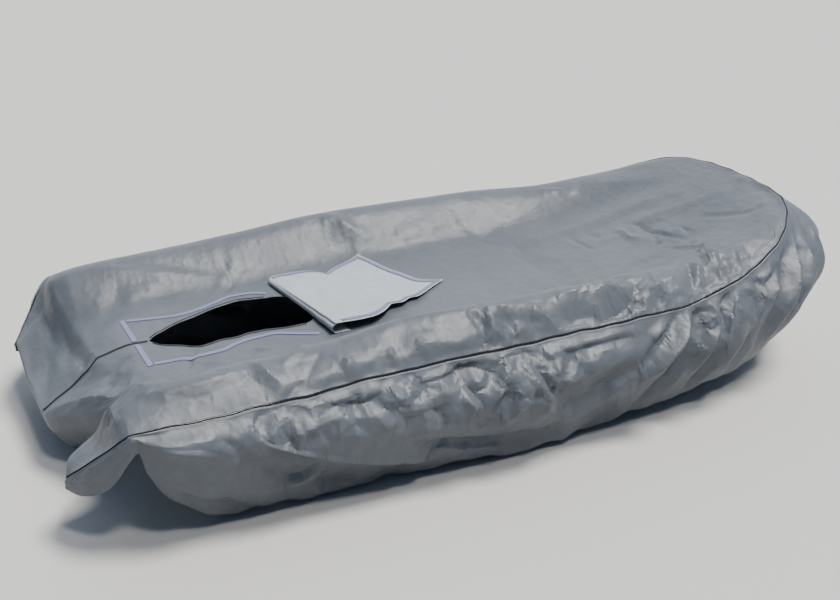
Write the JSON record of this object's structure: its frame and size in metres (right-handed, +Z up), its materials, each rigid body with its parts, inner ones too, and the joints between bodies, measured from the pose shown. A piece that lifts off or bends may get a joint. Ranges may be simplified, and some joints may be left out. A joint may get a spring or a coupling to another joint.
{
  "type": "boat cover",
  "caption": "Fitted cloth cover for an inflatable dinghy: top panel with an open hatch and its flap thrown back, skirts drawn in under the tubes.",
  "frame": {"origin": "just under the cloth at the middle of the top panel, where the boat's deck carries it", "axes": "+X towards the bow, along the cover's length; +Y to port; +Z up"},
  "size_m": [2.8788, 1.4375, 0.5925],
  "materials": {
    "coated_cloth": "smooth coated weave, slightly glossy",
    "coated_underside": "pale satin coating",
    "black_piping": "matt woven piping",
    "black_zip": "moulded zip coil",
    "lilac_hook_strip": "hook-and-loop tape"
  },
  "bodies": {
    "root": {"centre_zip": "black_zip", "flap_strip_far": "lilac_hook_strip", "flap_strip_free": "lilac_hook_strip", "flap_strip_near": "lilac_hook_strip", "hatch_flap": "coated_underside", "hook_strip_aft_port": "lilac_hook_strip", "hook_strip_aft_starboard": "lilac_hook_strip", "hook_strip_port": "lilac_hook_strip", "hook_strip_starboard": "lilac_hook_strip", "piping_port": "black_piping", "piping_starboard": "black_piping", "skirt_port": "coated_cloth", "skirt_starboard": "coated_cloth", "top_panel": "coated_cloth", "zip_half_port": "black_zip", "zip_half_starboard": "black_zip"}
  },
  "joints": []
}
